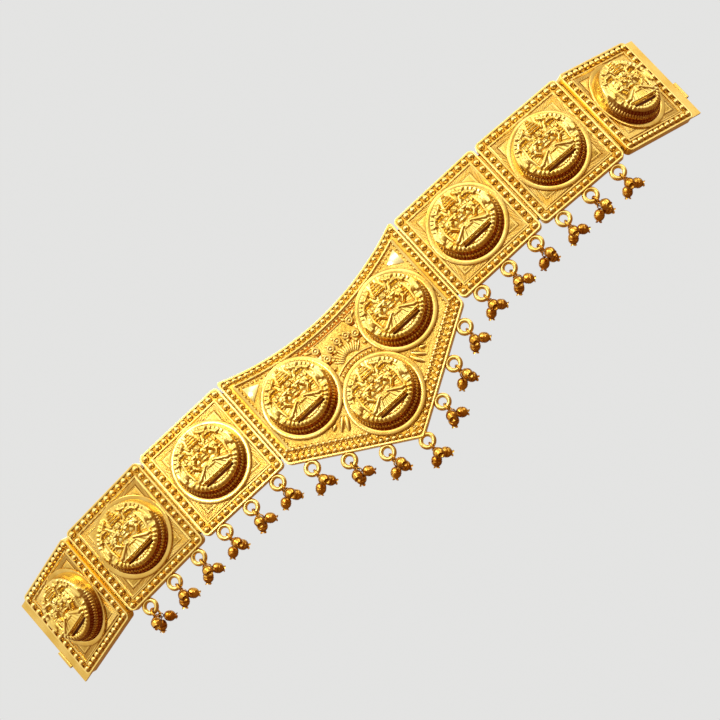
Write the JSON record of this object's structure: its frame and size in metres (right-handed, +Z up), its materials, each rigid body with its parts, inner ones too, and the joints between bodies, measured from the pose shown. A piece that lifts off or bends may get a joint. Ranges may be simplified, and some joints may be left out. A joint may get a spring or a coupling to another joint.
{
  "type": "hinged temple waist belt",
  "caption": "Gold-plated hinged waist belt of square plates and a pointed centre plaque, with domed figure medallions and hanging bells.",
  "frame": {"origin": "middle of the centre plaque's plain back, halfway up its straight sides, where it rests on the waist", "axes": "+Z up as worn, -Y the ornamented face, +X towards the belt's own right-hand end as seen from the front"},
  "size_m": [0.3921, 0.0611, 0.0977],
  "materials": {
    "gold": "polished gold plate, darkened in the recesses",
    "gold_relief": "polished gold plate on stamped relief",
    "gold_drops": "polished gold plate",
    "pin_gold": "satin gold plate"
  },
  "bodies": {
    "centre": {"centre_plate": "gold", "centre_left_medallion": "gold_relief", "centre_right_medallion": "gold_relief", "centre_low_medallion": "gold_relief", "centre_drop_1": "gold_drops", "centre_drop_2": "gold_drops", "centre_drop_3": "gold_drops", "centre_drop_4": "gold_drops", "centre_drop_5": "gold_drops", "centre_drop_6": "gold_drops", "centre_drop_7": "gold_drops", "left_pin_1": "pin_gold", "right_pin_1": "pin_gold"},
    "left_1": {"left_plate_1": "gold", "left_medallion_1": "gold_relief", "left_drop_1a": "gold_drops", "left_drop_1b": "gold_drops", "left_drop_1c": "gold_drops", "left_pin_2": "pin_gold"},
    "left_2": {"left_plate_2": "gold", "left_medallion_2": "gold_relief", "left_drop_2a": "gold_drops", "left_drop_2b": "gold_drops", "left_drop_2c": "gold_drops", "left_pin_3": "pin_gold"},
    "left_3": {"left_plate_3": "gold", "left_medallion_3": "gold_relief"},
    "right_1": {"right_plate_1": "gold", "right_medallion_1": "gold_relief", "right_drop_1a": "gold_drops", "right_drop_1b": "gold_drops", "right_drop_1c": "gold_drops", "right_pin_2": "pin_gold"},
    "right_2": {"right_plate_2": "gold", "right_medallion_2": "gold_relief", "right_drop_2a": "gold_drops", "right_drop_2b": "gold_drops", "right_drop_2c": "gold_drops", "right_pin_3": "pin_gold"},
    "right_3": {"right_plate_3": "gold", "right_medallion_3": "gold_relief"}
  },
  "joints": [
    {"name": "right_hinge_1", "type": "hinge", "parent": "centre", "child": "right_1", "pos_m": [0.05445, -0.00075, 0], "axis": [0, 0, 1], "range_deg": [-12, 56]},
    {"name": "right_hinge_2", "type": "hinge", "parent": "right_1", "child": "right_2", "pos_m": [0.10385, -0.00075, 0], "axis": [0, 0, 1], "range_deg": [-21.7, 46.3]},
    {"name": "right_hinge_3", "type": "hinge", "parent": "right_2", "child": "right_3", "pos_m": [0.15254, 0.00757, 0], "axis": [0, 0, 1], "range_deg": [-46.9, 21.1]},
    {"name": "left_hinge_1", "type": "hinge", "parent": "centre", "child": "left_1", "pos_m": [-0.05445, -0.00075, 0], "axis": [0, 0, -1], "range_deg": [-12.5, 55.5]},
    {"name": "left_hinge_2", "type": "hinge", "parent": "left_1", "child": "left_2", "pos_m": [-0.10385, -0.00032, 0], "axis": [0, 0, -1], "range_deg": [-22.3, 45.7]},
    {"name": "left_hinge_3", "type": "hinge", "parent": "left_2", "child": "left_3", "pos_m": [-0.15237, 0.00894, 0], "axis": [0, 0, -1], "range_deg": [-40.8, 27.2]}
  ]
}
